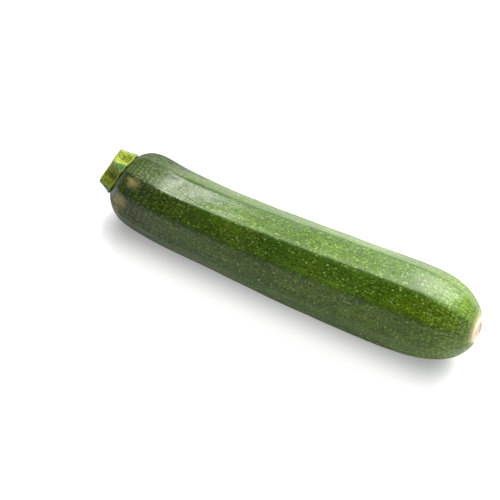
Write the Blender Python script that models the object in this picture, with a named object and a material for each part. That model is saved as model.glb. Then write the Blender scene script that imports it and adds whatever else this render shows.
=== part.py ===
"""A zucchini, picked with its cut stem on, lying on its side.

+X runs along the fruit from the cut stem to the blossom end, -Y is the front and +Z is up.
The origin is on the resting surface, under the middle of the whole object's box. Sizes are in metres.
Run it with: blender --background --python part.py
"""

import math

import bmesh
import bpy
import numpy as np
from mathutils import Vector

# Driving dimensions of the fruit.
FRUIT_LENGTH = 0.1988  # from the foot of the stem to the blossom scar
WAIST_RADIUS = 0.0209  # slimmer half, towards the stem
BELLY_RADIUS = 0.0235  # fuller half, towards the blossom end
BELLY_SPAN = (-0.60, 0.60)  # where along the fruit, from -1 to 1, the waist swells to the belly
STEM_DOME = 0.0205  # length of the rounded shoulder at the stem
BLOSSOM_DOME = 0.0400  # length of the rounded blossom end
STEM_DOME_POWER = 3.0  # 2 is an ellipse, more is squarer
BLOSSOM_DOME_POWER = 2.4
SHOULDER_MOUTH = 0.60  # radius of the flat under the stem, as a share of the waist
SCAR_RADIUS = 0.0056
SCAR_RIM = 0.0008
SCAR_DEPTH = 0.0005
SCAR_BUTTON_RADIUS = 0.0018
SCAR_BUTTON_HEIGHT = 0.0004

# How the fruit bends, and how it is held as it lies.
BOW_UP = 0.0036  # rise of each end over the middle
BOW_BACK = 0.0018  # swing of each end to the back
BOW_CENTRE = -0.011  # where along X the fruit hangs lowest
STEM_HOOK = 0.0045  # extra rise of the stem end
STEM_HOOK_LENGTH = 0.035
STEM_HOOK_DIRECTION = math.radians(105)  # from the front, up over the top
LIE_SLOPE = 0.016  # the blossom end's rise for each metre along X, where the belly lies level
FLAT_DEPTH = 0.0004  # how far the belly is pressed flat where it rests

# Ten ribs run the length of the fruit. Every other one is a main rib, and stands out a little more.
RIB_ANGLES = [math.radians(a) for a in (118, 80, 47, 12, -30, -67, -107, -140, -174, -208)]
MINOR_RIB = 0.988  # a minor rib's crest, as a share of a main rib's
RIB_SHARPNESS = 44  # a rounded polygon's exponent: more gives flatter sides and crisper crests
STEM_TWIST = math.radians(-10)  # turn of the ribs at the stem end, easing out towards the other end
BLOSSOM_TWIST = math.radians(-9)  # and at the blossom end, over its last stretch
BLOSSOM_TWIST_FROM = 0.35  # where along the fruit that stretch starts, from -1 to 1

# Where the fruit's mesh has its points.
FACET_STEPS = (0, 0.1, 0.3, 0.5, 0.7, 0.9)  # from one crest to the next
SHOULDER_RINGS = 9
SHOULDER_CROWDING = 1.7  # over 1 sets the rings closer together towards the stem
BODY_RINGS = 19
BLOSSOM_RINGS = 13

# Driving dimensions of the stem.
STEM_LENGTH = 0.0097
STEM_GAP = 0.00035  # between the stem's foot and the fruit's shoulder
STEM_CUT_RADIUS = 0.0107
STEM_FOOT_RADIUS = 0.0129
STEM_VALLEY = 0.70  # radius in the valleys, as a share of the crests'
STEM_LOBES = 5
LOBE_POWERS = (1.0, 0.6)  # at the cut and at the foot: less makes the lobes broad, the valleys narrow
VALLEY_RIDGE = 0.035  # small ridge in each valley at the cut, as a share of the radius
VALLEY_RIDGE_POWER = 6  # more makes it narrower
STEM_LOBE_SIZES = (1.0, 0.97, 1.02, 0.95, 1.05)
STEM_CUT_SLANT = math.radians(13)
STEM_SHORT_SIDE = math.radians(49)  # from the front, up over the top
CUT_BEVEL = 0.0005
TOE_LENGTH = 0.0030  # the stretch of the foot that bends to the shoulder
TOE_ROUND = 0.0006
SIDES_PER_LOBE = 12
STEM_BANDS = 4  # cross-sections between the cut's bevel and the toes

SKIN_GREEN = (0.07, 0.125, 0.018, 1)
SKIN_ROUGHNESS = 0.32
STEM_GREEN = (0.205, 0.275, 0.045, 1)
STEM_ROUGHNESS = 0.55
CRISP_EDGE = math.radians(45)
UP = Vector((0, 0, 1))


def smooth_step(x):
    """0 before x = 0, 1 after x = 1, and an even curve between."""
    x = min(max(x, 0), 1)
    return x * x * (3 - 2 * x)


def main_rib(index):
    """Whether this rib is one of the five that run on into the stem's lobes."""
    return index % 2 == 1


def facet_lines():
    """Each flat between two ribs as (angle of its normal, distance), for a main crest at radius 1."""
    lines = []
    for i, angle in enumerate(RIB_ANGLES):
        j = (i + 1) % len(RIB_ANGLES)
        sizes = [1 if main_rib(k) else MINOR_RIB for k in (i, j)]
        ends = [
            Vector((math.cos(a), math.sin(a))) * size
            for a, size in zip((angle, RIB_ANGLES[j]), sizes)
        ]
        along = ends[1] - ends[0]
        normal = Vector((-along.y, along.x)).normalized()
        if normal.dot(ends[0]) < 0:
            normal.negate()
        lines.append((math.atan2(normal.y, normal.x), normal.dot(ends[0])))
    return lines


FACETS = facet_lines()


def rib_outline(angle):
    """Radius of the ribbed cross-section at this angle: a polygon of flats with its corners rounded."""
    total = 0
    for normal, distance in FACETS:
        share = math.cos(angle - normal) / distance
        if share > 0:
            total += share**RIB_SHARPNESS
    return total ** (-1 / RIB_SHARPNESS)


def rib_samples():
    """Angles round the fruit, closer together by each rib's crest."""
    angles = sorted(a % math.tau for a in RIB_ANGLES)
    following = angles[1:] + [angles[0] + math.tau]
    return [a + (b - a) * step for a, b in zip(angles, following) for step in FACET_STEPS]


def fruit_radius(along):
    """Radius of a main crest, for along from -1 at the stem to 1 at the blossom end."""
    half = FRUIT_LENGTH / 2
    first, last = BELLY_SPAN
    body = WAIST_RADIUS + (BELLY_RADIUS - WAIST_RADIUS) * smooth_step((along - first) / (last - first))
    from_stem = min((along + 1) * half / STEM_DOME, 1)
    from_blossom = min((1 - along) * half / BLOSSOM_DOME, 1)
    mouth = SHOULDER_MOUTH**STEM_DOME_POWER
    shoulder = mouth + (1 - mouth) * (1 - (1 - from_stem) ** STEM_DOME_POWER)
    tip = 1 - (1 - from_blossom) ** BLOSSOM_DOME_POWER
    return body * shoulder ** (1 / STEM_DOME_POWER) * tip ** (1 / BLOSSOM_DOME_POWER)


def axis_point(along):
    """A point on the fruit's bent centre line."""
    half = FRUIT_LENGTH / 2
    x = along * half
    bow = ((x - BOW_CENTRE) / half) ** 2
    hook = STEM_HOOK * max((STEM_HOOK_LENGTH - half - x) / STEM_HOOK_LENGTH, 0) ** 2
    y = BOW_BACK * bow - hook * math.cos(STEM_HOOK_DIRECTION)
    z = BOW_UP * bow + hook * math.sin(STEM_HOOK_DIRECTION) + LIE_SLOPE * x
    return Vector((x, y, z))


def axis_frame(along):
    """(centre, forward, front, up) of the cross-section there, square to the centre line."""
    step = 1e-3
    forward = (axis_point(along + step) - axis_point(along - step)).normalized()
    front = forward.cross(UP).normalized()
    return axis_point(along), forward, front, front.cross(forward)


def rib_twist(along):
    """How far the ribs are turned round the centre line there."""
    at_blossom = max((along - BLOSSOM_TWIST_FROM) / (1 - BLOSSOM_TWIST_FROM), 0)
    return STEM_TWIST * ((1 - along) / 2) ** 2 + BLOSSOM_TWIST * at_blossom**2


def fruit_ring(along, angles):
    """The points of one cross-section of the fruit."""
    centre, _, front, up = axis_frame(along)
    radius = fruit_radius(along)
    twist = rib_twist(along)
    return [
        centre
        + (front * math.cos(a + twist) + up * math.sin(a + twist)) * radius * rib_outline(a)
        for a in angles
    ]


def fruit_stations():
    """Where the fruit's cross-sections lie, closer together where its ends round off."""
    half = FRUIT_LENGTH / 2
    shoulder_end = -1 + STEM_DOME / half
    blossom_start = 1 - BLOSSOM_DOME / half
    shoulder = -1 + (shoulder_end + 1) * np.linspace(0, 1, SHOULDER_RINGS) ** SHOULDER_CROWDING
    body = np.linspace(shoulder_end, blossom_start, BODY_RINGS)
    scar_share = ((SCAR_RADIUS + SCAR_RIM) / BELLY_RADIUS) ** BLOSSOM_DOME_POWER
    scar_turn = math.asin((1 - scar_share) ** (1 / BLOSSOM_DOME_POWER))
    blossom = blossom_start + (1 - blossom_start) * np.sin(np.linspace(0, scar_turn, BLOSSOM_RINGS))
    return [float(a) for a in (*shoulder, *body[1:], *blossom[1:])]


def skin_between(bm, rings):
    """Quads from each ring of points to the next, facing out for rings that run along the fruit."""
    loops = [[bm.verts.new(point) for point in ring] for ring in rings]
    for first, second in zip(loops, loops[1:]):
        for i in range(len(first)):
            j = (i + 1) % len(first)
            bm.faces.new((first[i], first[j], second[j], second[i]))
    return loops


def sunk_inset(bm, face, width, depth):
    """Insets the face, moves it in by depth along its normal, and returns it."""
    bmesh.ops.inset_region(bm, faces=[face], thickness=width, depth=0, use_even_offset=False)
    bm.normal_update()
    bmesh.ops.translate(bm, verts=face.verts, vec=-face.normal * depth)
    return face


def finish_object(name, bm, material):
    """The mesh as a smooth-shaded object with crisp cut edges."""
    bmesh.ops.recalc_face_normals(bm, faces=bm.faces)
    mesh = bpy.data.meshes.new(name)
    bm.to_mesh(mesh)
    bm.free()
    mesh.shade_smooth()
    mesh.set_sharp_from_angle(angle=CRISP_EDGE)
    mesh.materials.append(material)
    made = bpy.data.objects.new(name, mesh)
    bpy.context.scene.collection.objects.link(made)
    return made


def plain_material(name, colour, roughness):
    material = bpy.data.materials.new(name)
    material.use_nodes = True
    shader = material.node_tree.nodes["Principled BSDF"]
    shader.inputs["Base Color"].default_value = colour
    shader.inputs["Roughness"].default_value = roughness
    shader.inputs["Metallic"].default_value = 0
    return material


def build_fruit():
    """The ribbed body, its flat under the stem, and the sunk blossom scar with a button in it."""
    bm = bmesh.new()
    angles = rib_samples()
    loops = skin_between(bm, [fruit_ring(a, angles) for a in fruit_stations()])
    bm.faces.new(loops[0])
    scar = bm.faces.new(reversed(loops[-1]))
    bm.normal_update()
    sunk_inset(bm, scar, SCAR_RIM, 0)
    sunk_inset(bm, scar, SCAR_RIM, SCAR_DEPTH)
    sunk_inset(bm, scar, SCAR_RADIUS - SCAR_RIM - SCAR_BUTTON_RADIUS, 0)
    sunk_inset(bm, scar, SCAR_RIM, -SCAR_BUTTON_HEIGHT)
    return finish_object("fruit", bm, plain_material("skin", SKIN_GREEN, SKIN_ROUGHNESS))


def stem_outline(angle, level):
    """Radius of the stem as a share of its crest: lobed, with a small ridge in each valley."""
    power = LOBE_POWERS[0] + (LOBE_POWERS[1] - LOBE_POWERS[0]) * level
    lobe = (0.5 + 0.5 * math.cos(STEM_LOBES * angle)) ** power
    size = STEM_LOBE_SIZES[round(angle * STEM_LOBES / math.tau) % STEM_LOBES]
    ridge = VALLEY_RIDGE * (1 - level) * max(0, -math.cos(STEM_LOBES * angle)) ** VALLEY_RIDGE_POWER
    return STEM_VALLEY + (size - STEM_VALLEY) * lobe + ridge


def shoulder_drop(radius):
    """How far the shoulder falls away from the flat under the stem, at this distance from the centre line."""
    mouth = SHOULDER_MOUTH**STEM_DOME_POWER
    climb = ((radius / WAIST_RADIUS) ** STEM_DOME_POWER - mouth) / (1 - mouth)
    return STEM_DOME * (1 - (1 - max(climb, 0)) ** (1 / STEM_DOME_POWER))


def stem_ring(level, inset=0, widest=1):
    """The points of one cross-section of the stem, from level 0 at its cut to 1 at its foot.

    The ring is drawn in by inset, and no point is further out than widest. The toes bend down
    along the shoulder.
    """
    centre, forward, front, up = axis_frame(-1)
    # The lobes run on from the main ribs. The first is in line with the rib that faces up and to the front.
    first_lobe = RIB_ANGLES[1] + rib_twist(-1)
    crest = STEM_CUT_RADIUS + (STEM_FOOT_RADIUS - STEM_CUT_RADIUS) * smooth_step(level)
    toe = smooth_step(1 - (1 - level) * STEM_LENGTH / TOE_LENGTH)
    sides = STEM_LOBES * SIDES_PER_LOBE
    ring = []
    for i in range(sides):
        angle = math.tau * i / sides
        spread = first_lobe + angle
        radius = min(crest * stem_outline(angle, level) - inset, widest)
        shorter = math.tan(STEM_CUT_SLANT) * radius * math.cos(spread - STEM_SHORT_SIDE)
        height = STEM_GAP + (STEM_LENGTH - shorter) * (1 - level) - toe * shoulder_drop(radius)
        out = front * math.cos(spread) + up * math.sin(spread)
        ring.append(centre + out * radius - forward * height)
    return ring


def stem_rings():
    """The stem's cross-sections from the bevelled cut to the toes, and the edge of its flat sole."""
    toe_start = 1 - TOE_LENGTH / STEM_LENGTH
    toe_end = 1 - TOE_ROUND / STEM_LENGTH
    bands = np.linspace(CUT_BEVEL / STEM_LENGTH, toe_start, STEM_BANDS)
    rings = [stem_ring(0, inset=CUT_BEVEL)]
    rings += [stem_ring(level) for level in (*bands, (toe_start + toe_end) / 2, toe_end)]
    rings.append(stem_ring(1, inset=TOE_ROUND))
    rings.append(stem_ring(1, inset=2 * TOE_ROUND, widest=SHOULDER_MOUTH * WAIST_RADIUS))
    return rings


def build_stem():
    """The cut stem stub: five lobes that spread into toes on the shoulder."""
    bm = bmesh.new()
    loops = skin_between(bm, stem_rings())
    for loop in (loops[0], loops[-1]):
        cap = bm.faces.new(loop)
        bmesh.ops.poke(bm, faces=[cap])
    return finish_object("stem", bm, plain_material("stem_green", STEM_GREEN, STEM_ROUGHNESS))


def corners(objects):
    """Lowest and highest corner of all the objects' vertices."""
    points = np.array([v.co for o in objects for v in o.data.vertices])
    return points.min(axis=0), points.max(axis=0)


def rest_on_surface(objects):
    """Moves all together so that the box is centred and the belly is pressed a little into the surface."""
    low, high = corners(objects)
    move = Vector((-(low[0] + high[0]) / 2, -(low[1] + high[1]) / 2, -low[2] - FLAT_DEPTH))
    for o in objects:
        for vertex in o.data.vertices:
            vertex.co += move
            vertex.co.z = max(vertex.co.z, 0)


def main():
    for old in list(bpy.data.objects):
        bpy.data.objects.remove(old)
    rest_on_surface([build_fruit(), build_stem()])


main()
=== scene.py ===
import math

import bpy
from mathutils import Matrix, Vector


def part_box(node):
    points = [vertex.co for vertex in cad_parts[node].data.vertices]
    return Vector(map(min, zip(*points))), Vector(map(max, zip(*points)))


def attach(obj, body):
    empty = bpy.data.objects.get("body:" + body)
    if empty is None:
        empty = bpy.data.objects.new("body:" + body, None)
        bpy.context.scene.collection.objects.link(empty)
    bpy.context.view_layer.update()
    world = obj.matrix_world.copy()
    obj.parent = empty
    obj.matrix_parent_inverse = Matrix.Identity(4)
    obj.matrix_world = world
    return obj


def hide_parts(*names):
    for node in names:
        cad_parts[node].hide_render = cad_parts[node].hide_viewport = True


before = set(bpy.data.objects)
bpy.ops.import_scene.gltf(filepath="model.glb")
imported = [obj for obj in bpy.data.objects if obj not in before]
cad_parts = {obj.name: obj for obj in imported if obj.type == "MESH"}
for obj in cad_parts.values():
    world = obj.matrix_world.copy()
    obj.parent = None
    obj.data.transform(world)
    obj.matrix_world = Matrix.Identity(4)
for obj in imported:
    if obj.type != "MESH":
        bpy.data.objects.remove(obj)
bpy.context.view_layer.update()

bl_info = {
    "name": "Zucchini",
    "version": (1, 0, 0),
    "blender": (4, 5, 0),
    "location": "3D View > Sidebar > Zucchini",
    "description": "Dresses the packed zucchini: ribbed skin, cut stem, pale floor and soft light",
    "category": "Object",
}

FRUIT_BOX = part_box("fruit")


# Formulas in node trees

class Field:
    """A node's output as a value in a formula: each operator adds a node."""

    def __init__(self, socket):
        self.socket = socket
        self.tree = socket.id_data

    def math(self, operation, *others, clamp=False):
        values = enumerate((self, *others))
        return out(place(self.tree, "ShaderNodeMath", values, operation=operation, use_clamp=clamp))

    def __add__(self, other):
        return self.math("ADD", other)

    def __sub__(self, other):
        return self.math("SUBTRACT", other)

    def __rsub__(self, other):
        return self.math("MULTIPLY_ADD", -1.0, other)

    def __mul__(self, other):
        return self.math("MULTIPLY", other)

    def __truediv__(self, other):
        return self.math("DIVIDE", other)

    def __rtruediv__(self, other):
        return out(place(self.tree, "ShaderNodeMath", {0: other, 1: self}, operation="DIVIDE"))

    def __pow__(self, other):
        return self.math("POWER", other)

    def __neg__(self):
        return self.math("MULTIPLY", -1.0)

    __radd__, __rmul__ = __add__, __mul__

    def at_least(self, other):
        return self.math("MAXIMUM", other)

    def at_most(self, other):
        return self.math("MINIMUM", other)

    def clamped(self):
        """The number, held between 0 and 1."""
        return self.math("MULTIPLY", 1.0, clamp=True)

    def vector_math(self, operation, *others):
        values = enumerate((self, *others))
        return out(place(self.tree, "ShaderNodeVectorMath", values, operation=operation))

    def scaled(self, factor):
        """This vector or colour times a number."""
        inputs = {0: self, "Scale": factor}
        return out(place(self.tree, "ShaderNodeVectorMath", inputs, operation="SCALE"))

    def parts(self):
        """The vector's three numbers."""
        node = place(self.tree, "ShaderNodeSeparateXYZ", {0: self})
        return [out(node, i) for i in range(3)]


def feed(socket, value):
    """Links a field to the socket, or sets a plain value on it."""
    if isinstance(value, Field):
        value.tree.links.new(value.socket, socket)
    else:
        socket.default_value = value


def place(tree, kind, inputs=(), **settings):
    """Adds a node, sets its settings, and feeds its inputs by name or index."""
    node = tree.nodes.new(kind)
    for name, value in settings.items():
        setattr(node, name, value)
    for key, value in dict(inputs).items():
        feed(node.inputs[key], value)
    return node


def out(node, key=0):
    """One of the node's outputs as a field."""
    return Field(node.outputs[key])


def ramp(field, low, high, first=0.0, last=1.0):
    """A smooth curve from first, where the field is low, to last, where it is high."""
    inputs = enumerate((field, low, high, first, last))
    return out(place(field.tree, "ShaderNodeMapRange", inputs, interpolation_type="SMOOTHSTEP"))


def between(field, rise, fall):
    """1 between two soft edges, each given as where it is 0 and where it reaches 1."""
    return ramp(field, *rise) * ramp(field, *fall)


def joined(tree, *numbers):
    """A vector from three numbers."""
    return out(place(tree, "ShaderNodeCombineXYZ", enumerate(numbers)))


def noise(vector, scale, detail):
    """A noise texture's value, about 0.5 in the middle."""
    inputs = {"Vector": vector, "Scale": scale, "Detail": detail}
    return out(place(vector.tree, "ShaderNodeTexNoise", inputs), "Fac")


def two_noises(vector, scale, fine_scale, fine_share):
    """Smooth lumps about 0, with a share of finer ones on them."""
    coarse, fine = [noise(vector, size, 1.0) - 0.5 for size in (scale, fine_scale)]
    return coarse + fine * fine_share


def new_socket(tree, name, kind="Float", direction="INPUT"):
    return tree.interface.new_socket(name, in_out=direction, socket_type="NodeSocket" + kind)


def new_tree(name, kind, inputs, outputs):
    """A node group, its input node and its output node. Sockets are (name, kind, any default)."""
    tree = bpy.data.node_groups.new(name, kind)
    for direction, sockets in (("INPUT", inputs), ("OUTPUT", outputs)):
        for label, socket_kind, *default in sockets:
            made = new_socket(tree, label, socket_kind, direction)
            if default:
                made.default_value = default[0]
    return tree, tree.nodes.new("NodeGroupInput"), tree.nodes.new("NodeGroupOutput")


def added(name, data):
    """A new object with this data, in the scene."""
    made = bpy.data.objects.new(name, data)
    bpy.context.scene.collection.objects.link(made)
    return made


# The ribbed section

def facet_lines(angles, minor):
    """Each flat between two ribs as (its normal's angle, distance). A main crest is at 1."""
    sizes = [1 if i % 2 else minor for i in range(len(angles))]
    crests = [Vector((math.cos(a), math.sin(a))) * size for a, size in zip(angles, sizes)]
    lines = []
    for start, end in zip(crests, crests[1:] + crests[:1]):
        along = end - start
        normal = Vector((-along.y, along.x)).normalized()
        if normal.dot(start) < 0:
            normal.negate()
        lines.append((math.atan2(normal.y, normal.x), normal.dot(start)))
    return lines


def rib_outline(angle, facets, sharpness):
    """Radius of a polygon of flats whose corners are rounded."""
    shares = [math.cos(angle - normal) / distance for normal, distance in facets]
    return sum(share**sharpness for share in shares if share > 0) ** (-1 / sharpness)


def section_object(name, angles, radii, **attributes):
    """A closed loop of edges that a tree sweeps, with its named attributes."""
    mesh = bpy.data.meshes.new(name)
    points = [(math.cos(a) * r, -math.sin(a) * r, 0) for a, r in zip(angles, radii)]
    count = len(points)
    mesh.from_pydata(points, [(i, (i + 1) % count) for i in range(count)], [])
    for label, values in attributes.items():
        mesh.attributes.new(label, "FLOAT", "POINT").data.foreach_set("value", values)
    return added(name, mesh)


# The trees that sweep a section

class Sizes:
    """A tree's number inputs: sizes.bow_up is its input Bow Up, which the first use adds."""

    def __init__(self, group_in):
        self.group_in = group_in

    def __getattr__(self, key):
        name = key.replace("_", " ").title()
        if name not in self.group_in.outputs:
            new_socket(self.group_in.id_data, name)
        return out(self.group_in, name)


WELD_DISTANCE = 1e-7


class Sweep:
    """A tree that sweeps the unit section along X from -1 to 1, as a tube for formulas to shape.

    first and last go from 0 to 1 over the rings that close its ends, body over those between.
    """

    def __init__(self, name, first_rings, last_rings):
        sockets = [("Section", "Geometry"), ("Rings", "Int"), ("Material", "Material")]
        self.tree, self.group_in, self.group_out = new_tree(
            name, "GeometryNodeTree", sockets, [("Shape", "Geometry")]
        )
        self.tree.is_modifier = True
        self.size = Sizes(self.group_in)
        self.half = self.size.length * 0.5
        rings = self.size.rings

        profile = self.node("MeshToCurve", {"Mesh": out(self.group_in, "Section")})
        rail = self.node("CurvePrimitiveLine", {"Start": (-1, 0, 0), "End": (1, 0, 0)})
        rail = self.node("ResampleCurve", {"Curve": rail, "Count": rings})
        rail = self.node("SetCurveNormal", {"Curve": rail}, mode="Z_UP")
        tube = self.node("CurveToMesh", {"Curve": rail, "Profile Curve": profile})
        self.tube = self.node("FlipFaces", {"Mesh": tube})

        t, self.y, self.z = self.node("InputPosition").parts()
        self.outline = (self.y * self.y + self.z * self.z).math("SQRT")
        ring = ((t + 1.0) * 0.5 * (rings - 1.0)).math("ROUND")
        self.first = (ring / first_rings).at_most(1.0)
        self.last = ((rings - 1.0 - ring) / last_rings).at_most(1.0)
        self.body = ((ring - first_rings) / (rings - (first_rings + last_rings + 1))).clamped()

    def node(self, kind, inputs=(), **settings):
        return out(place(self.tree, "GeometryNode" + kind, inputs, **settings))

    def named(self, name, kind="FLOAT"):
        return self.node("InputNamedAttribute", {"Name": name}, data_type=kind)

    def turned(self, angle):
        """The section's point, (to the front, up), turned from the front over the top."""
        front, cosine, sine = -self.y, angle.math("COSINE"), angle.math("SINE")
        return front * cosine - self.z * sine, front * sine + self.z * cosine

    def finish(self, point, push, **kept):
        """Stores the kept fields, moves the points, and pushes them along the normal.

        The merge welds the poles shut. The tree ends in Realize Instances and Set Material.
        """
        shape = self.tube
        for name, value in kept.items():
            kind = "FLOAT_VECTOR" if value.socket.type == "VECTOR" else "FLOAT"
            inputs = {"Geometry": shape, "Name": name, "Value": value}
            shape = self.node("StoreNamedAttribute", inputs, data_type=kind)
        for kind, inputs in (
            ("SetPosition", {"Position": point}),
            ("SetPosition", {"Offset": self.node("InputNormal").scaled(push)}),
            ("MergeByDistance", {"Distance": WELD_DISTANCE}),
            ("SetShadeSmooth", {}),
            ("RealizeInstances", {}),
            ("SetMaterial", {"Material": out(self.group_in, "Material")}),
        ):
            shape = self.node(kind, {"Geometry": shape, **inputs})
        feed(self.group_out.inputs[0], shape)
        return self.tree


def bent_axis(x, half, size):
    """(centre, forward, front, up) of the bent centre line at x, all as vector fields."""
    reach = (x - size.bow_centre) / half
    hook = ((size.hook_length - half - x) / size.hook_length).at_least(0.0)
    hook_front = size.hook_direction.math("COSINE")
    hook_up = size.hook_direction.math("SINE")
    y = size.bow_back * reach * reach - size.stem_hook * hook * hook * hook_front
    z = size.bow_up * reach * reach + size.stem_hook * hook * hook * hook_up + size.lie_slope * x
    bend = 2.0 * reach / half
    unhook = -2.0 * hook / size.hook_length
    y_slope = size.bow_back * bend - size.stem_hook * unhook * hook_front
    z_slope = size.bow_up * bend + size.stem_hook * unhook * hook_up + size.lie_slope
    forward = joined(x.tree, 1.0, y_slope, z_slope).vector_math("NORMALIZE")
    front = forward.vector_math("CROSS_PRODUCT", (0.0, 0.0, 1.0)).vector_math("NORMALIZE")
    up = front.vector_math("CROSS_PRODUCT", forward)
    return joined(x.tree, x, y, z), forward, front, up


def moved(point, *shifts):
    """The point after each shift, given as (direction, distance)."""
    for towards, distance in shifts:
        point = point.vector_math("ADD", towards.scaled(distance))
    return point


MOUTH_RINGS = 8
SCAR_RINGS = 44

# Soft edges, each as where a form is 0 and where it is full. Along the fruit, -1 is the stem.
STRAY_EDGES = ((-1.0, -0.72), (0.15, -0.72))
HOLLOW_EDGES = ((-0.97, -0.86), (-0.60, -0.82))
ROUND_ALONG = (0.0, 0.5)
RIBBED_BY_RADIUS = (0.35, 0.97)  # shares of the belly's radius
ROUND_OUTLINE = 0.96  # radius of the unit section where it is round
SCAR_FLOOR = (0.97, 0.80)  # shares of the scar's radius, as the next
SCAR_LIP = ((1.0, 0.93), (0.82, 0.92))
BUTTON_EDGE = (1.35, 0.55)  # shares of the button's radius

# The pattern runs on over both ends by a share of what the radius has lost there.
END_SHARE = 0.6
BLOSSOM_HALF, STEM_HALF = (0.0, 0.3), (-0.3, -0.6)

DENT_STRETCH = (0.55, 1.0, 1.0)
DENTS = (75.0, 330.0, 0.16)  # coarse and fine scale, share of the fine one
CALM_REACH = 1.6  # in scar radii, where the dents are full


def fruit_tree():
    """Sweeps the ribbed section down the bent centre line and closes both ends."""
    sweep = Sweep("zucchini_fruit", MOUTH_RINGS, SCAR_RINGS)
    size, half, outline = sweep.size, sweep.half, sweep.outline

    # The dome's own formula says where its radius has come down to the scar's rim.
    rim_share = (size.scar_radius / size.belly_radius) ** size.blossom_dome_power
    rim_fall = 1.0 - (1.0 - rim_share) ** (1.0 / size.blossom_dome_power)
    rim_at = 1.0 - size.blossom_dome / half * rim_fall
    middle, reach = (rim_at - 1.0) * 0.5, (rim_at + 1.0) * 0.5
    along = middle - reach * (sweep.body * math.pi).math("COSINE")

    swell = ramp(along, size.swell_from, size.swell_to)
    radius = size.waist_radius + (size.belly_radius - size.waist_radius) * swell
    from_stem = ((along + 1.0) * half / size.stem_dome).at_most(1.0)
    from_tip = ((1.0 - along) * half / size.blossom_dome).at_most(1.0)
    mouth = size.mouth ** size.stem_dome_power
    rise = (1.0 - from_stem).at_least(0.0) ** size.stem_dome_power
    shoulder = mouth + (1.0 - mouth) * (1.0 - rise)
    fall = (1.0 - from_tip).at_least(0.0) ** size.blossom_dome_power
    tip = (1.0 - fall).at_least(0.0)
    radius = radius * shoulder ** (1.0 / size.stem_dome_power)
    radius = radius * tip ** (1.0 / size.blossom_dome_power)

    # The scar's relief: a rounded lip, a sunk floor, and a small button in the middle.
    floor = ramp(sweep.last, *SCAR_FLOOR)
    lip = between(sweep.last, *SCAR_LIP)
    button_share = size.button_radius / size.scar_radius
    button = ramp(sweep.last, *[button_share * edge for edge in BUTTON_EDGE])
    relief = size.scar_lip * lip - size.scar_depth * floor + size.button_height * button

    # The ribs' turn, the section made round at the scar, and the hollows at the shoulder.
    late = ((along - size.blossom_twist_from) / (1.0 - size.blossom_twist_from)).at_least(0.0)
    early = (1.0 - along) * 0.5
    twist = size.stem_twist * early * early + size.blossom_twist * late * late
    twist = twist + sweep.named("stray") * between(along, *STRAY_EDGES)
    span = [size.belly_radius * share for share in RIBBED_BY_RADIUS]
    roundness = ramp(radius, *span, 1.0, 0.0) * ramp(along, *ROUND_ALONG)
    even = outline + (ROUND_OUTLINE - outline) * roundness
    hollow = size.hollow_depth * between(along, *HOLLOW_EDGES) * sweep.named("facet_middle")
    reach_out = (radius * even / outline - hollow / outline) * sweep.first * sweep.last
    to_front, to_up = [part * reach_out for part in sweep.turned(twist)]
    centre, forward, front, up = bent_axis(along * half, half, size)
    point = moved(centre, (front, to_front), (up, to_up), (forward, relief))

    # The skin as it would lie on a straight rod: what its pattern follows.
    lost = (size.belly_radius - radius * sweep.last) * END_SHARE
    run = along * half + lost * ramp(along, *BLOSSOM_HALF)
    lost = (size.waist_radius - radius * sweep.first) * END_SHARE
    run = run - lost * ramp(along, *STEM_HALF)
    to_back, to_top = [part / outline * size.belly_radius for part in (sweep.y, sweep.z)]
    rod = joined(sweep.tree, run, to_back, to_top)

    # Soft dents and swellings, which make the shine uneven.
    stretched = sweep.named("rod", "FLOAT_VECTOR").vector_math("MULTIPLY", DENT_STRETCH)
    calm = ramp(sweep.named("reach"), size.scar_radius, size.scar_radius * CALM_REACH)
    push = two_noises(stretched, *DENTS) * size.unevenness * calm
    return sweep.finish(point, push, rod=rod, reach=radius * sweep.last * sweep.first)


CUT_RINGS = 12
SOLE_RINGS = 8

# The stem's forms by level, from 0 at the cut to 1 at the foot, and in shares of its radius
LOBE_EDGE = (math.radians(3.5), math.radians(10))  # half of a lobe's flat, at the cut and the foot
VALLEY_EDGE = (math.radians(31), math.radians(27))  # from a lobe's middle to the valley's floor
LOBE_CURVE = 0.45  # how far a lobe's flank is S-shaped
VALLEY_TOP = (0.0, 0.35, 0.79, 0.77)  # two levels, and the valleys' radius there
VALLEY_FOOT = (0.74, 0.98, 0.0, 0.13)  # the same, on top of that
PIT_EDGES = ((0.25, 0.62), (0.92, 0.70))
KNOB_EDGES = ((0.72, 0.88), (1.0, 0.93))
KNOB_SIZE = 0.035

LUMPS = (420.0, 1300.0, 0.35)  # coarse and fine scale, share of the fine one
LUMPS_OFF_LOBE = (0.0, 0.0012, 0.3, 1.0)  # metres from a lobe's flat, then the lumps' share
LUMPS_ON_CUT = (0.0, 0.1, 1.0, 0.25)
LUMPS_ON_SOLE = (0.0, 0.2, 1.0, 0.0)


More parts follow.
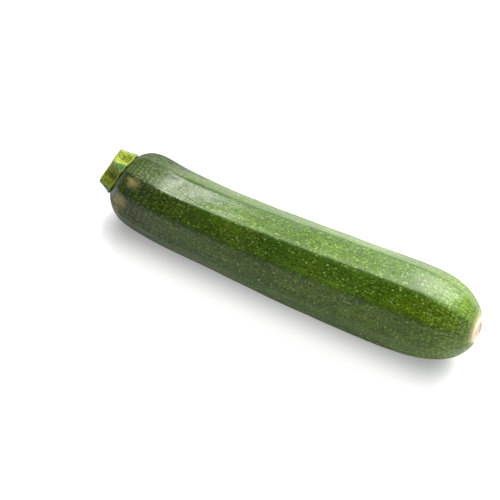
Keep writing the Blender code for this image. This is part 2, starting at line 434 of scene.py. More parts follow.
def stem_tree():
    """Sweeps a five-lobed section from the cut face to the toes on the shoulder."""
    sweep = Sweep("zucchini_stem", CUT_RINGS, SOLE_RINGS)
    size, side = sweep.size, sweep.body
    level = 0.5 - 0.5 * (side * math.pi).math("COSINE")
    level = level * 0.5 + side * 0.5

    # The lobes are flat, more so at the foot. The valleys sink to a pit above the foot's rim.
    off_lobe = sweep.named("off_lobe")
    at_cut, at_foot = sweep.named("lobe_at_cut"), sweep.named("lobe_at_foot")
    lobe_size = at_cut + (at_foot - at_cut) * level
    lobe_edge, valley_edge = ramp(level, 0.0, 1.0, *LOBE_EDGE), ramp(level, 0.0, 1.0, *VALLEY_EDGE)
    lobe = 1.0 - ((off_lobe - lobe_edge) / (valley_edge - lobe_edge)).clamped()
    lobe = lobe * lobe * (3.0 - 2.0 * lobe) * LOBE_CURVE + lobe * (1.0 - LOBE_CURVE)
    valley = ramp(level, *VALLEY_TOP) + ramp(level, *VALLEY_FOOT)
    valley = valley - size.pit_depth / size.foot_radius * between(level, *PIT_EDGES)
    crest = ramp(level, 0.0, 1.0, size.cut_radius, size.foot_radius)
    knob = between(level, *KNOB_EDGES) * KNOB_SIZE
    share = valley + (lobe_size + knob - valley) * lobe

    def rounding(distance):
        """How far the edge is rounded away, at that distance from it."""
        left = 1.0 - (distance / size.rounding).at_most(1.0)
        return size.rounding * (1.0 - (1.0 - left * left).at_least(0.0).math("SQRT"))

    inset = rounding(level * size.stem_length) + rounding((1.0 - level) * size.stem_length)
    radius = (crest * share - inset) * sweep.first * sweep.last
    to_front, to_up = [part / sweep.outline for part in sweep.turned(size.first_lobe)]
    short = size.short_side
    facing_short = to_front * short.math("COSINE") + to_up * short.math("SINE")
    shorter = size.cut_slant.math("TANGENT") * radius * facing_short

    # The toes bend down along the shoulder, and the sole lies on it.
    power = size.stem_dome_power
    mouth = size.mouth ** power
    climb = ((radius / size.waist_radius) ** power - mouth) / (1.0 - mouth)
    drop = size.stem_dome * (1.0 - (1.0 - climb.at_least(0.0)) ** (1.0 / power))
    toe = ramp((1.0 - level) * size.stem_length / size.toe_length, 1.0, 0.0)
    height = size.gap + (size.stem_length - shorter) * (1.0 - level) - toe * drop
    centre, forward, front, up = bent_axis(-sweep.half, sweep.half, size)
    point = moved(centre, (front, to_front * radius), (up, to_up * radius), (forward, -height))

    # Lumps and pits in the stem's flesh, less on the flat lobes and the cut, none on the sole.
    push = two_noises(sweep.node("InputPosition"), *LUMPS) * size.unevenness
    where = ramp(sweep.named("edge"), *LUMPS_OFF_LOBE)
    push = push * (where * ramp(sweep.named("cut"), *LUMPS_ON_CUT))
    push = push * ramp(sweep.named("sole"), *LUMPS_ON_SOLE)
    return sweep.finish(
        point, push, level=level, edge=(off_lobe - lobe_edge) * crest,
        cut=1.0 - sweep.first, sole=1.0 - sweep.last,
    )


def grown_mesh(section, tree, name, inputs):
    """Runs the tree on the section and keeps the result as a plain mesh object."""
    modifier = section.modifiers.new(name, "NODES")
    modifier.node_group = tree
    for item in tree.interface.items_tree:
        if item.in_out == "INPUT" and item.name in inputs:
            modifier[item.identifier] = inputs[item.name]
    seen = section.evaluated_get(bpy.context.evaluated_depsgraph_get())
    mesh = bpy.data.meshes.new_from_object(seen)
    bpy.data.objects.remove(section)
    if len(mesh.polygons) == 0:
        raise RuntimeError(f"{name} came out empty")
    mesh.name = name
    mesh.materials.clear()
    mesh.materials.append(inputs["Material"])
    return added(name, mesh)


def corners(mesh):
    """Lowest and highest corner of the mesh."""
    points = [vertex.co for vertex in mesh.vertices]
    return [Vector(pick(p[i] for p in points) for i in range(3)) for pick in (min, max)]


def lay_down(mesh, move):
    """Moves the mesh into the row frame, and presses flat what would go below it."""
    for vertex in mesh.vertices:
        vertex.co += move
        vertex.co.z = max(vertex.co.z, 0)


# Sizes, colours and light that a user would change

def Number(label, default, about, **more):
    return bpy.props.FloatProperty(name=label, description=about, default=default, **more)


def Length(label, default, about):
    return Number(label, default, about, precision=5, unit="LENGTH")


def Angle(label, degrees, about):
    return Number(label, math.radians(degrees), about, subtype="ANGLE")


def Share(label, default, about):
    return Number(label, default, about, soft_min=0, soft_max=1, subtype="FACTOR")


def Colour(label, default, about):
    return bpy.props.FloatVectorProperty(
        name=label, description=about, default=default, size=3, min=0, max=1, subtype="COLOR"
    )


class ZucchiniFruit(bpy.types.PropertyGroup):
    """Sizes of the fruit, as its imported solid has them."""

    length: Length("Length", 0.1988, "From the foot of the stem to the blossom scar")
    waist_radius: Length("Waist Radius", 0.0209, "Slimmer half, towards the stem")
    belly_radius: Length("Belly Radius", 0.0235, "Fuller half, towards the blossom end")
    swell_from: Number("Swell From", -0.60, "Where the waist ends, from -1 to 1")
    swell_to: Number("Swell To", 0.60, "Where the belly is reached, from -1 to 1")
    stem_dome: Length("Stem Dome", 0.0205, "Length of the shoulder at the stem")
    stem_dome_power: Number("Stem Dome Power", 3.0, "2 is an ellipse, more is squarer")
    blossom_dome: Length("Blossom Dome", 0.0400, "Length of the rounded blossom end")
    blossom_dome_power: Number("Blossom Dome Power", 2.4, "2 is an ellipse, more squarer")
    mouth: Share("Mouth", 0.60, "Radius of the flat under the stem, in waist radii")
    bow_up: Length("Bow Up", 0.0036, "Rise of each end over the middle")
    bow_back: Length("Bow Back", 0.0018, "Swing of each end to the back")
    bow_centre: Length("Bow Centre", -0.011, "Where along X the fruit hangs lowest")
    stem_hook: Length("Stem Hook", 0.0045, "Extra rise of the stem end")
    hook_length: Length("Hook Length", 0.035, "Stretch over which the stem end rises")
    hook_direction: Angle("Hook Direction", 105, "From the front, up over the top")
    lie_slope: Number("Lie Slope", 0.016, "Rise of the blossom end for each metre")
    minor_rib: Share("Minor Rib", 0.988, "A minor rib's crest, as a share of a main rib's")
    rib_sharpness: Number("Rib Sharpness", 72, "More is flatter, with crisper crests")
    stem_twist: Angle("Stem Twist", -10, "Turn of the ribs at the stem end")
    blossom_twist: Angle("Blossom Twist", -9, "Turn of the ribs at the blossom end")
    blossom_twist_from: Number("Blossom Twist From", 0.35, "Where that turn starts")
    scar_radius: Length("Scar Radius", 0.0056, "Where the blossom dropped off")
    scar_depth: Length("Scar Depth", 0.0006, "How far its floor is sunk")
    scar_lip: Length("Scar Lip", 0.0003, "How far its rim stands proud")
    button_radius: Length("Button Radius", 0.0018, "The button in the scar's middle")
    button_height: Length("Button Height", 0.0006, "Its height over the floor")
    hollow_depth: Length("Hollow Depth", 0.0002, "Between the ribs at the shoulder")
    unevenness: Length("Unevenness", 0.0007, "Soft dents and swellings of the skin")
    rings: bpy.props.IntProperty(name="Rings", description="Rings along the fruit", default=300)
    lie: bpy.props.FloatVectorProperty(
        name="Lie", description="From the centre line to the row frame", subtype="TRANSLATION"
    )


class ZucchiniStem(bpy.types.PropertyGroup):
    """Sizes of the cut stem."""

    stem_length: Length("Stem Length", 0.0095, "From the cut to the shoulder")
    gap: Length("Gap", 0.0001, "Between the foot and the shoulder")
    cut_radius: Length("Cut Radius", 0.0107, "Radius of the lobes at the cut")
    foot_radius: Length("Foot Radius", 0.0129, "Radius of the toes")
    cut_slant: Angle("Cut Slant", 11, "How far the cut is off square")
    short_side: Angle("Short Side", 49, "Where the stem is shortest, from the front")
    first_lobe: Angle("First Lobe", 74, "The lobe that runs on from the rib facing up")
    toe_length: Length("Toe Length", 0.0030, "The stretch that bends to the shoulder")
    rounding: Length("Rounding", 0.0011, "Radius of the cut's and the foot's edge")
    pit_depth: Length("Pit Depth", 0.0010, "How far each valley sinks above the foot")
    unevenness: Length("Unevenness", 0.0009, "Lumps and pits of the stem's flesh")
    rings: bpy.props.IntProperty(name="Rings", description="Rings along the stem", default=96)


RIB_ANGLES = [math.radians(a) for a in (118, 80, 47, 12, -30, -67, -107, -140, -174, -208)]
STRAY_RIBS = {80: -2.5, 118: -3.0}  # ribs, by angle, that stray by so much near the stem
# Painted light and shade on each flat, from one rib to the next: lighter where the flat faces the
# light, darker where it faces away
FACET_SHADING = (1.12, 0.86, 1.02, 0.90, 0.92, 0.96, 0.80, 0.70, 0.76, 0.88)
# The painted light and shade blends from flat to flat across each rib.
FACET_SHADING_BLEND = 2.5  # how fast a flat takes on its own tone past a rib
CREST_WIDTH = math.radians(5)
CREST_CROWDING = 0.09
SECTION_SIDES = 300
STEM_LOBES = (  # degrees from the first lobe, and size at the cut and at the foot
    (0, 1.0, 1.0), (61, 1.0, 0.98), (141, 1.02, 1.02), (215, 0.95, 0.95), (290, 1.08, 0.95),
)


def group_inputs(settings):
    """The settings by their display names, which are the tree's input names too."""
    props = settings.bl_rna.properties
    return {props[name].name: getattr(settings, name) for name in settings.__annotations__}


def fruit_section(fruit):
    """The ribbed unit section. Its points crowd at the crests, where the outline turns."""
    steps = SECTION_SIDES // len(RIB_ANGLES)
    # A flat's painted light and shade goes with the facet before its rib, as the ribs are listed
    # from high to low.
    ribs = sorted((a % math.tau, tone) for a, tone in zip(RIB_ANGLES, FACET_SHADING))
    ribs += [(a + math.tau, tone) for a, tone in ribs[:2]]
    points = []
    for (first, tone_before), (second, tone), (_, tone_after) in zip(ribs, ribs[1:], ribs[2:]):
        turns = [round(math.degrees(a)) % 360 for a in (first, second)]
        here, there = [math.radians(STRAY_RIBS.get(turn, 0)) for turn in turns]
        for k in range(steps):
            s = k / steps - CREST_CROWDING * math.sin(math.tau * k / steps)
            off = min(s, 1 - s)
            neighbour = tone_before if s < 0.5 else tone_after
            points.append((
                first + (second - first) * s,
                math.exp(-((off * (second - first) / CREST_WIDTH) ** 2)),
                math.sin(math.pi * s) ** 2,
                here + (there - here) * s * s * (3 - 2 * s),
                tone + (neighbour - tone) * max(0.5 - FACET_SHADING_BLEND * off, 0),
            ))
    angles, crest, facet_middle, stray, tone = zip(*points)
    facets = facet_lines(RIB_ANGLES, fruit.minor_rib)
    radii = [rib_outline(a, facets, fruit.rib_sharpness) for a in angles]
    return section_object(
        "fruit_section", angles, radii,
        crest=crest, facet_middle=facet_middle, stray=stray, tone=tone,
    )


def stem_section():
    """A round unit section that knows how far each point is from the nearest lobe."""
    angles = [math.tau * i / SECTION_SIDES for i in range(SECTION_SIDES)]

    def lobes(angle):
        for turn, *sizes in STEM_LOBES:
            yield abs((angle - math.radians(turn) + math.pi) % math.tau - math.pi), *sizes

    off_lobe, at_cut, at_foot = zip(*[min(lobes(angle)) for angle in angles])
    return section_object(
        "stem_section", angles, [1] * SECTION_SIDES,
        off_lobe=off_lobe, lobe_at_cut=at_cut, lobe_at_foot=at_foot,
    )


# Colours, and the effects that more than one material uses

def mixed(factor, first, second):
    """first turning into second as the factor goes from 0 to 1."""
    inputs = {0: factor}
    for key, colour in ((6, first), (7, second)):
        inputs[key] = colour if isinstance(colour, Field) else (*colour, 1)
    return out(place(factor.tree, "ShaderNodeMix", inputs, data_type="RGBA"), 2)


def pattern_group(name, inputs, outputs):
    """A shader group whose Vector is drawn out along X by Stretch, with its further inputs."""
    sockets = [("Vector", "Vector"), ("Stretch", "Float", 1.0), *inputs]
    tree, group_in, group_out = new_tree(name, "ShaderNodeTree", sockets, outputs)
    squeeze = joined(tree, 1.0 / out(group_in, "Stretch"), 1.0, 1.0)
    vector = out(group_in, "Vector").vector_math("MULTIPLY", squeeze)
    return tree, group_out, vector, [out(group_in, label) for label, *_ in inputs]


def speckle_group():
    """Scattered dots. Mask is 1 on a dot, and Chance differs from dot to dot."""
    inputs = [("Spacing", "Float"), ("Dot", "Float"), ("Softness", "Float", 0.5)]
    tree, group_out, vector, (spacing, dot, softness) = pattern_group(
        "speckles", inputs, [("Mask", "Float"), ("Chance", "Float")]
    )
    cells = place(tree, "ShaderNodeTexVoronoi", {"Vector": vector, "Scale": 1.0 / spacing})
    chance, second, _ = out(cells, "Color").parts()
    size = dot * (0.4 + 0.8 * chance)
    feed(group_out.inputs[0], ramp(out(cells, "Distance"), size, size * (1.0 - softness)))
    feed(group_out.inputs[1], second)
    return tree


def mottle_group():
    """Cloudy light and dark of a given grain, from about -1 to 1."""
    tree, group_out, vector, (grain, detail) = pattern_group(
        "mottle", [("Grain", "Float"), ("Detail", "Float", 2.0)], [("Value", "Float")]
    )
    feed(group_out.inputs[0], (noise(vector, 1.0 / grain, detail) - 0.5) * 4.0)
    return tree


class Finish:
    """A material being built: its tree, its shader, and shared groups placed with its values."""

    groups = {}

    def __init__(self, name):
        self.material = bpy.data.materials.new(name)
        self.material.use_nodes = True
        self.tree = self.material.node_tree
        self.shader = self.tree.nodes["Principled BSDF"]

    def group(self, maker, vector, values):
        if maker not in self.groups:
            self.groups[maker] = maker()
        node = place(self.tree, "ShaderNodeGroup", node_tree=self.groups[maker])
        for name, value in {"vector": vector, **values}.items():
            feed(node.inputs[name.capitalize()], value)
        return node

    def speckles(self, vector, chances=None, **values):
        """The speckles' mask, fainter by each one's Chance where chances are given."""
        node = self.group(speckle_group, vector, values)
        mask = out(node, "Mask")
        return mask * ramp(out(node, "Chance"), *chances) if chances else mask

    def mottle(self, vector, **values):
        return out(self.group(mottle_group, vector, values))

    def attribute(self, name, output="Fac"):
        return out(place(self.tree, "ShaderNodeAttribute", attribute_name=name), output)

    def bump(self, height, distance, strength):
        inputs = {"Height": height, "Distance": distance, "Strength": strength}
        self.set(Normal=out(place(self.tree, "ShaderNodeBump", inputs)))

    def set(self, **values):
        for name, value in values.items():
            feed(self.shader.inputs[name.replace("_", " ")], value)


class ZucchiniFinish(bpy.types.PropertyGroup):
    """Colours of the skin and the stem."""

    deep_green: Colour("Deep Green", (0.037, 0.082, 0.002), "The skin's darker green")
    full_green: Colour("Full Green", (0.070, 0.126, 0.004), "The skin's lighter green")
    # Painted shade: a darker green along the crests, where the highlight does not reach.
    crest_shade_green: Colour("Crest Shade Green", (0.020, 0.068, 0.002), "Lines along the ribs")
    fleck: Colour("Fleck", (0.25, 0.35, 0.08), "Small flecks all over the skin")
    dot: Colour("Dot", (0.38, 0.48, 0.12), "Sparse bright dots")
    tip_green: Colour("Tip Green", (0.100, 0.185, 0.008), "Skin near the blossom scar")
    cork: Colour("Cork", (0.39, 0.34, 0.12), "Rubbed patches on the shoulder")
    scar: Colour("Scar", (0.86, 0.70, 0.52), "The blossom scar")
    scar_middle: Colour("Scar Middle", (0.55, 0.38, 0.22), "The scar's middle")
    scar_ring: Colour("Scar Ring", (0.58, 0.52, 0.20), "Pale ring round the scar")
    stem_blue: Colour("Stem Blue", (0.080, 0.165, 0.044), "Flat faces of the stem's lobes")
    stem_valley: Colour("Stem Valley", (0.21, 0.26, 0.014), "Valleys of the stem")
    stem_pit: Colour("Stem Pit", (0.17, 0.20, 0.006), "Deepest parts of the valleys")
    stem_pale: Colour("Stem Pale", (0.37, 0.45, 0.13), "The lobes' edges and the foot's rim")
    cut: Colour("Cut", (0.50, 0.46, 0.13), "The cut face")
    cut_strand: Colour("Cut Strand", (0.26, 0.27, 0.05), "Strands in the cut face")
    cut_middle: Colour("Cut Middle", (0.58, 0.52, 0.24), "Dry middle of the cut face")


# Where a mark of the skin is least and where it is full, in metres from the stem
STREAKS = (0.060, 0.012)
CREST_SHADE = (0.12, 0.0)
FULL_TONE = (0.0, 0.075)
PALER_END = (0.05, 0.17)
DULL_SHOULDER = (0.026, 0.015)
DULL_CRESTS = (0.03, 0.09)

# The same in metres from the fruit's middle, and by the turn round it
TIP = (0.068, 0.090)
BLOSSOM_SIDE = (0.0, 0.01)
DULL_TOP = (math.radians(-18), math.radians(-8))
BACK_BLEND, TOP_BLEND = 0.3, 0.5  # half widths of the changes, in belly radii

ROW_SPACING = 0.00110  # from one row of dashes to the next
DASH_SPACING = 0.0030  # from one dash to the next in its row
DASH_EDGE = (0.44, 0.12)  # in spacings
CORK_PATCHES = (  # metres from the stem, half length, degrees from the top to the back, half width
    (0.0078, 0.0076, -20, 14), (0.0055, 0.0080, -61, 23), (0.0036, 0.0085, 105, 13),
)
# Edges round the scar, in scar radii: (where it is 0, full), each (below, more of it above)
SCAR_RING = ((1.30, 0.75), (1.05, 0.20))
SCAR_SKIN = ((1.16, 0.28), (1.02, 0.20))
SCAR_MIDDLE = (0.50, 0.15)

# How strongly each mark colours the skin: flecks, dashes and dots in front, and less behind
TIP_TINT, CREST_SHADE_TINT, CORK_TINT, RING_TINT, MIDDLE_TINT = 0.33, 0.9, 0.78, 0.7, 0.5
FLECK_TINT, DASH_TINT, DOT_TINT = (1.05, 0.47), (1.05, 0.33), (0.72, 0.42)
GRAIN_SHADE, PATCH_SHADE, STREAK_SHADE, DARKEST = 0.85, 0.22, 0.35, 0.2
# Share of the painted light and shade on the flats left at the stem, and what the paler blossom end
# adds to it
SHOULDER_TONE, END_TONE = 0.37, 0.22  # the tone's share at the stem, what the end adds


def skin_material(colours, fruit):
    """Waxy skin: two greens, mottling, flecks, dots, dashes near its ends, cork and a scar, with
    painted light and shade on each flat and painted shade along the crests.
    """
    skin = Finish("zucchini_skin")
    rod = skin.attribute("rod", "Vector")
    run, to_back, to_top = rod.parts()
    turn = to_back.math("ARCTAN2", to_top)  # 0 on top, and round over the back
    crest, facet, reach = [skin.attribute(name) for name in ("crest", "tone", "reach")]
    from_stem = run + fruit.length * 0.5
    behind, above = [
        ramp(field, -blend * fruit.belly_radius, blend * fruit.belly_radius)
        for field, blend in ((to_back, BACK_BLEND), (to_top, TOP_BLEND))
    ]
    at_stem, at_tip = ramp(from_stem, *STREAKS), ramp(run, *TIP)

    cloud = skin.mottle(rod, grain=0.016, stretch=2.5)
    patch = skin.mottle(rod, grain=0.0035, stretch=1.8)
    grain = skin.mottle(rod, grain=0.00078, stretch=1.4)
    fibres = skin.mottle(rod, grain=0.0009, stretch=7.0, detail=3.0)
    green = mixed(ramp(cloud, -0.9, 0.9), colours.deep_green, colours.full_green)
    green = mixed(at_tip * TIP_TINT, green, colours.tip_green)
    shade = 1.0 + grain * GRAIN_SHADE + patch * PATCH_SHADE + fibres * at_stem * STREAK_SHADE
    green = green.scaled(shade.at_least(DARKEST))
    # Painted shade: a darker line along each crest, strongest near the stem, where the highlight
    # does not reach.
    line = crest * crest * ramp(from_stem, *CREST_SHADE, 0.30, 0.9)
    green = mixed(line * CREST_SHADE_TINT, green, colours.crest_shade_green)

    # Flecks and dots all over, and dashes in rows near the two ends.
    fleck = skin.speckles(rod, (0.15, 0.95), spacing=0.00125, dot=0.5, stretch=1.4, softness=0.8)
    flecked = fleck * (1.0 - line * 0.7)
    dotted = skin.speckles(rod, (0.1, 0.5), spacing=0.0058, dot=0.095, stretch=1.3, softness=0.6)
    across = turn * (fruit.belly_radius / ROW_SPACING)
    rows = joined(skin.tree, run / DASH_SPACING, across, 0.0)
    cells = place(
        skin.tree, "ShaderNodeTexVoronoi", {"Vector": rows, "Scale": 1.0, "Randomness": 0.75},
        voronoi_dimensions="2D",
    )
    dash_chance = out(cells, "Color").parts()[0]
    dashed = ramp(out(cells, "Distance"), *DASH_EDGE) * ramp(dash_chance, 0.15, 0.7)
    dashed = dashed * (at_stem + at_tip * 0.8).at_most(1.0)
    for mark, colour, (front, less) in (
        (flecked, colours.fleck, FLECK_TINT), (dashed, colours.fleck, DASH_TINT),
        (dotted, colours.dot, DOT_TINT),
    ):
        green = mixed(mark * (front - behind * less), green, colour)
    # Painted light and shade: each flat is lighter or darker by how it faces the light, all darker
    # towards the stem and paler towards the blossom end.
    tone = facet * ramp(from_stem, *FULL_TONE, SHOULDER_TONE, 1.0)
    green = green.scaled(tone + ramp(from_stem, *PALER_END, 0.0, END_TONE))

    # Rubbed, corky patches on the shoulder, ragged and streaked along the fruit.
    cork, ragged = 0.0, fibres * 0.22 + patch * 0.20
    for at, length, middle, width in CORK_PATCHES:
        past = (from_stem - at) / length
        beside = (turn - math.radians(middle)) / math.radians(width)
        cork = ramp((past * past + beside * beside).math("SQRT") + ragged, 1.0, 0.1) + cork
    cork = (cork * 1.5 * ramp(fibres, -0.9, 0.7)).at_most(1.0)
    green = mixed(cork * CORK_TINT, green, colours.cork)

    # Where the blossom dropped off.
    ragged = reach + skin.mottle(rod, grain=0.0016) * 0.00030
    ring, inside = [
        ramp(ragged, *[fruit.scar_radius * (below + above * more) for below, more in edges])
        for edges in (SCAR_RING, SCAR_SKIN)
    ]
    middle = ramp(ragged, *[fruit.scar_radius * share for share in SCAR_MIDDLE])
    scar = mixed(middle * MIDDLE_TINT, colours.scar, colours.scar_middle)
    scar = scar.scaled(1.0 + fibres * 0.14)
    past_middle = ramp(run, *BLOSSOM_SIDE)
    green = mixed(ring * past_middle * RING_TINT, green, colours.scar_ring)
    green = mixed(inside * past_middle, green, scar)

    # Waxy, but dull on top of the shoulder and along the crests.
    dull = ramp(from_stem, *DULL_SHOULDER) * ramp(turn, *DULL_TOP, 0.3, 1.0)
    rough = 0.23 + dull * 0.37 + crest * ramp(from_stem, *DULL_CRESTS, 0.0, 0.18)
    rough = rough + grain * 0.015 + flecked * 0.06 + cork * 0.2
    skin.set(Base_Color=green, Roughness=rough, IOR=1.42)
    height = grain * 0.14 + patch * 0.7 - flecked * 0.12 - dotted * 0.4
    skin.bump(height, distance=0.00005, strength=0.8)
    return skin.material


# Edges on the stem: metres past a lobe's flat, and then shares of the way to the cut's middle
LOBE_FACE = (0.0003, -0.0003)
LOBE_RIM = ((-0.0006, 0.0001), (0.0009, 0.0003))
CUT_FACE = (0.12, 0.26)
CUT_STRANDS = ((0.30, 0.38), (0.56, 0.46))
CUT_MIDDLE = (0.62, 0.95)
STEM_FOOT = (0.84, 0.96)  # from 0 at the cut to 1 at the foot

# How strongly each mark colours the stem
BIT_TINT, RIM_TINT, FOOT_TINT, STRAND_TINT, DRY_TINT = 0.65, 0.6, 0.7, 0.55, 0.6


def stem_material(colours):
    """Fleshy stem: blue-green lobes with pale edges, mottled valleys, pale foot, fibrous cut."""
    stem = Finish("zucchini_stem")
    position = out(place(stem.tree, "ShaderNodeTexCoord"), "Object")
    level, edge, cut = [stem.attribute(name) for name in ("level", "edge", "cut")]
    lumps = stem.mottle(position, grain=0.0012)
    grain = stem.mottle(position, grain=0.0008)
    bits = stem.speckles(position, (0.25, 0.8), spacing=0.0012, dot=0.42)

    colour = mixed(ramp(lumps, -0.8, 0.5), colours.stem_pit, colours.stem_valley)
    colour = mixed(bits * BIT_TINT, colour, colours.stem_pale)
    face = ramp(edge + grain * 0.0002, *LOBE_FACE)
    colour = mixed(face, colour, colours.stem_blue)
    rim = between(edge, *LOBE_RIM) * ramp(lumps, -0.9, 0.6)
    colour = mixed(rim * RIM_TINT, colour, colours.stem_pale)
    foot = ramp(level, *STEM_FOOT) * ramp(lumps, -0.6, 0.6)
    colour = mixed(foot * FOOT_TINT, colour, colours.stem_pale)
    colour = colour.scaled(1.0 + grain * 0.20 + lumps * 0.08)

    # The cut, with a ring of darker strands and a dry middle.
    pith = stem.mottle(position, grain=0.0007, detail=3.0)
    strands = stem.speckles(position, spacing=0.0014, dot=0.55) * ramp(cut, *CUT_STRANDS[0])
    strands = strands * ramp(cut, *CUT_STRANDS[1])
    cut_colour = mixed(strands * STRAND_TINT, colours.cut, colours.cut_strand)
    cut_colour = mixed(ramp(cut, *CUT_MIDDLE) * DRY_TINT, cut_colour, colours.cut_middle)
    cut_colour = cut_colour.scaled(1.0 + pith * 0.22 + lumps * 0.07)
    colour = mixed(ramp(cut, *CUT_FACE), colour, cut_colour)
    stem.set(Base_Color=colour, Roughness=0.46 + grain * 0.05, IOR=1.40)
    stem.bump(lumps * 0.5 + grain * 0.3, distance=0.00025, strength=0.7)
    return stem.material


# Floor, light and camera

FLOOR_REACH = 4.0
FLOOR_DROP = 0.00005  # keeps it clear of the fruit's lowest face
# The floor's painted shadow: the camera sees less of the floor's white close under the fruit.
SHADE_HALF_LENGTH = 0.082  # half the stretch along X where the fruit is close to the floor
SHADE_REACH = (0.030, 0.008)  # from that stretch, where the shade ends and is full
SOFTBOX_DISTANCE = 1.3
DARK_EDGE = (0.55, 0.88)  # cosine of the angle to the camera, where the dark begins and is full
DIM_EDGE = (-0.30, -0.75)  # the same for the wall past the stem, by the ray's X


class ZucchiniStage(bpy.types.PropertyGroup):
    """The pale floor, the soft light and the camera."""

    floor_colour: Colour("Floor", (0.56, 0.56, 0.56), "The floor's colour")
    floor_glow: Number("Floor Glow", 0.38, "Light that the floor gives off itself")
    floor_white: Number("Floor White", 0.50, "More of it, as the camera sees the floor")
    # Painted shadow on the floor, close under the fruit.
    floor_shade: Number("Floor Shade", 0.62, "Less of that close under the fruit")
    floor_dulled: Share("Floor Dulled", 0.5, "Share of it that the skin doesn't mirror")
    camera_azimuth: Angle("Camera Azimuth", 28.3, "Round the object, from the front")
    camera_elevation: Angle("Camera Elevation", 55, "Above the horizon")
    camera_distance: Length("Camera Distance", 0.95, "From what it aims at")
    camera_aim: bpy.props.FloatVectorProperty(
        name="Camera Aim", description="The point in the picture's middle",
        default=(-0.01015, -0.01584, 0.03764), precision=5, subtype="TRANSLATION",
    )
    lens: Number("Lens", 139.5, "Focal length in millimetres on a 36 mm sensor")
    key_power: Number("Key Light", 24, "Watts of the soft light from over the back")
    stem_shine: Number("Stem Shine", 4.5, "Watts of the shine near the stem")
    blossom_shine: Number("Blossom Shine", 15.0, "Watts of the one at the other end")
    room_light: Number("Room Light", 1.0, "Brightness of the room's pale walls")
    dark_side: Number("Dark Side", 0.02, "Brightness of the room behind the camera")
    dim_wall: Share("Dim Wall", 0.12, "Share of the room's light on the stem's side")


def direction(azimuth, elevation):
    """Towards that azimuth and elevation, counted as the camera's are."""
    flat = math.cos(elevation)
    return Vector((math.sin(azimuth) * flat, -math.cos(azimuth) * flat, math.sin(elevation)))


def floor_object(stage):
    """A wide pale floor, with a painted shadow close under the fruit that only the camera sees."""
    mesh = bpy.data.meshes.new("floor")
    sides = ((-1, -1), (1, -1), (1, 1), (-1, 1))
    points = [(x * FLOOR_REACH, y * FLOOR_REACH, -FLOOR_DROP) for x, y in sides]
    mesh.from_pydata(points, [], [(0, 1, 2, 3)])
    floor = Finish("pale_floor")
    x, y, _ = out(place(floor.tree, "ShaderNodeTexCoord"), "Object").parts()
    past_end = (x.math("ABSOLUTE") - SHADE_HALF_LENGTH).at_least(0.0)
    from_foot = (past_end * past_end + y * y).math("SQRT")
    # Painted shadow: less of the camera's white close under the fruit.
    seen = stage.floor_white - ramp(from_foot, *SHADE_REACH) * stage.floor_shade
    ray = place(floor.tree, "ShaderNodeLightPath")
    glow = stage.floor_glow + out(ray, "Is Camera Ray") * seen
    glow = glow - out(ray, "Is Glossy Ray") * stage.floor_glow * stage.floor_dulled
    floor.set(
        Base_Color=(*stage.floor_colour, 1), Roughness=0.9, Specular_IOR_Level=0.0,
        Emission_Color=(1, 1, 1, 1), Emission_Strength=glow,
    )
    mesh.materials.append(floor.material)
    made = added("floor", mesh)


def softbox(name, power, turn, lean, spread, shines=True):
    """A soft rectangular light. All its angles are in degrees, as seen from the fruit.

    turn goes round from the front over the top, lean goes from there towards the blossom end, and
    spread is how much the light takes up across the fruit and along it.
    """
    turn, lean = math.radians(turn), math.radians(lean)
    outward = Vector((
        math.sin(lean), -math.cos(lean) * math.cos(turn), math.cos(lean) * math.sin(turn)
    ))
    along = (Vector((1, 0, 0)) - outward * outward.x).normalized()
    light = bpy.data.lights.new(name, "AREA")
    light.shape = "RECTANGLE"
    light.size_y, light.size = [
        2 * SOFTBOX_DISTANCE * math.tan(math.radians(angle) / 2) for angle in spread
    ]
    light.energy = power
    made = added(name, light)
    made.location = outward * SOFTBOX_DISTANCE
    made.rotation_euler = Matrix((along, outward.cross(along), outward)).transposed().to_euler()
    made.visible_camera = False
    made.visible_glossy = shines


def room_world(stage):
    """Pale walls, dimmer past the stem and dark behind the camera, white to the camera itself."""
    world = bpy.data.worlds.new("studio")
    world.use_nodes = True
    tree = world.node_tree
    tree.nodes.clear()
    towards = tuple(direction(stage.camera_azimuth, stage.camera_elevation))
    ray = out(place(tree, "ShaderNodeTexCoord"), "Generated")
    facing = place(tree, "ShaderNodeVectorMath", {0: ray, 1: towards}, operation="DOT_PRODUCT")
    dark = ramp(out(facing, "Value"), *DARK_EDGE)
    dim = ramp(ray.parts()[0], *DIM_EDGE, 1.0, stage.dim_wall)
    strength = (stage.room_light + (stage.dark_side - stage.room_light) * dark) * dim
    room, white = [
        out(place(tree, "ShaderNodeBackground", {"Color": (1, 1, 1, 1), "Strength": light}))
        for light in (strength, 1.0)
    ]
    seen = out(place(tree, "ShaderNodeLightPath"), "Is Camera Ray")
    both = out(place(tree, "ShaderNodeMixShader", {0: seen, 1: room, 2: white}))
    place(tree, "ShaderNodeOutputWorld", {"Surface": both})
    bpy.context.scene.world = world


def studio_camera(stage):
    """The camera, at the photograph's angle."""
    camera = bpy.data.cameras.new("camera")
    camera.sensor_width = 36
    camera.lens = stage.lens
    camera.clip_end = 100
    made = added("camera", camera)
    aim = Vector(stage.camera_aim)
    at = aim + direction(stage.camera_azimuth, stage.camera_elevation) * stage.camera_distance
    made.location = at
    made.rotation_euler = (aim - at).to_track_quat("-Z", "Y").to_euler()
    bpy.context.scene.camera = made


# Operators

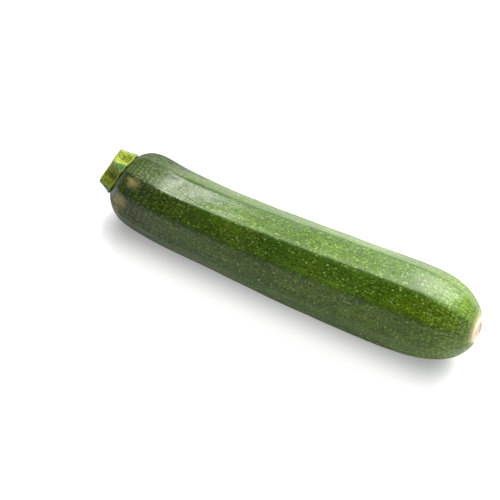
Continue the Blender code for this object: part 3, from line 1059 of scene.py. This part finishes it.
class ZUCCHINI_OT_fruit(bpy.types.Operator):
    """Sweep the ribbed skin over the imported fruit"""

    bl_idname = "zucchini.fruit"
    bl_label = "Fruit"

    def execute(self, context):
        fruit = context.scene.zucchini_fruit
        material = skin_material(context.scene.zucchini_finish, fruit)
        inputs = {**group_inputs(fruit), "Material": material}
        skin = grown_mesh(fruit_section(fruit), fruit_tree(), "zucchini_skin", inputs)
        low, high = corners(skin.data)
        cad_low, cad_high = FRUIT_BOX
        fruit.lie = (
            cad_low[0] - low.x,
            (cad_low[1] + cad_high[1] - low.y - high.y) / 2,
            cad_high[2] - high.z,
        )
        lay_down(skin.data, Vector(fruit.lie))
        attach(skin, "root")
        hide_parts("fruit")
        return {"FINISHED"}


class ZUCCHINI_OT_stem(bpy.types.Operator):
    """Set the cut stem on the fruit's shoulder"""

    bl_idname = "zucchini.stem"
    bl_label = "Stem"

    def execute(self, context):
        scene = context.scene
        inputs = {**group_inputs(scene.zucchini_fruit), **group_inputs(scene.zucchini_stem)}
        inputs["Material"] = stem_material(scene.zucchini_finish)
        stem = grown_mesh(stem_section(), stem_tree(), "zucchini_stem", inputs)
        lay_down(stem.data, Vector(scene.zucchini_fruit.lie))
        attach(stem, "root")
        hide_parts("stem")
        return {"FINISHED"}


class ZUCCHINI_OT_stage(bpy.types.Operator):
    """Add the pale floor, the soft light and the camera"""

    bl_idname = "zucchini.stage"
    bl_label = "Floor, Light and Camera"

    def execute(self, context):
        stage = context.scene.zucchini_stage
        context.scene.view_settings.view_transform = "Standard"
        floor_object(stage)
        softbox("key_light", stage.key_power, turn=132, lean=0, spread=(42, 42), shines=False)
        softbox("stem_shine", stage.stem_shine, turn=119, lean=-15.4, spread=(15, 8.5))
        softbox("blossom_shine", stage.blossom_shine, turn=142, lean=6.5, spread=(25, 38))
        room_world(stage)
        studio_camera(stage)
        return {"FINISHED"}


class ZUCCHINI_PT_sidebar(bpy.types.Panel):
    """Lists the zucchini's pieces and their sizes"""

    bl_idname = "ZUCCHINI_PT_sidebar"
    bl_label = "Zucchini"
    bl_space_type = "VIEW_3D"
    bl_region_type = "UI"
    bl_category = "Zucchini"

    def draw(self, context):
        for operator, settings in (
            (ZUCCHINI_OT_fruit, context.scene.zucchini_fruit),
            (ZUCCHINI_OT_stem, context.scene.zucchini_stem),
            (None, context.scene.zucchini_finish),
            (ZUCCHINI_OT_stage, context.scene.zucchini_stage),
        ):
            box = self.layout.box()
            if operator:
                box.operator(operator.bl_idname)
            for name in settings.__annotations__:
                box.prop(settings, name)


SETTINGS = {
    "zucchini_fruit": ZucchiniFruit,
    "zucchini_stem": ZucchiniStem,
    "zucchini_finish": ZucchiniFinish,
    "zucchini_stage": ZucchiniStage,
}
CLASSES = (
    *SETTINGS.values(), ZUCCHINI_OT_fruit, ZUCCHINI_OT_stem, ZUCCHINI_OT_stage, ZUCCHINI_PT_sidebar,
)


def register():
    for item in CLASSES:
        bpy.utils.register_class(item)
    for name, settings in SETTINGS.items():
        setattr(bpy.types.Scene, name, bpy.props.PointerProperty(type=settings))


def unregister():
    for name in SETTINGS:
        delattr(bpy.types.Scene, name)
    for item in reversed(CLASSES):
        bpy.utils.unregister_class(item)


def main():
    register()
    bpy.ops.zucchini.fruit()
    bpy.ops.zucchini.stem()
    bpy.ops.zucchini.stage()


if __name__ == "__main__":
    main()
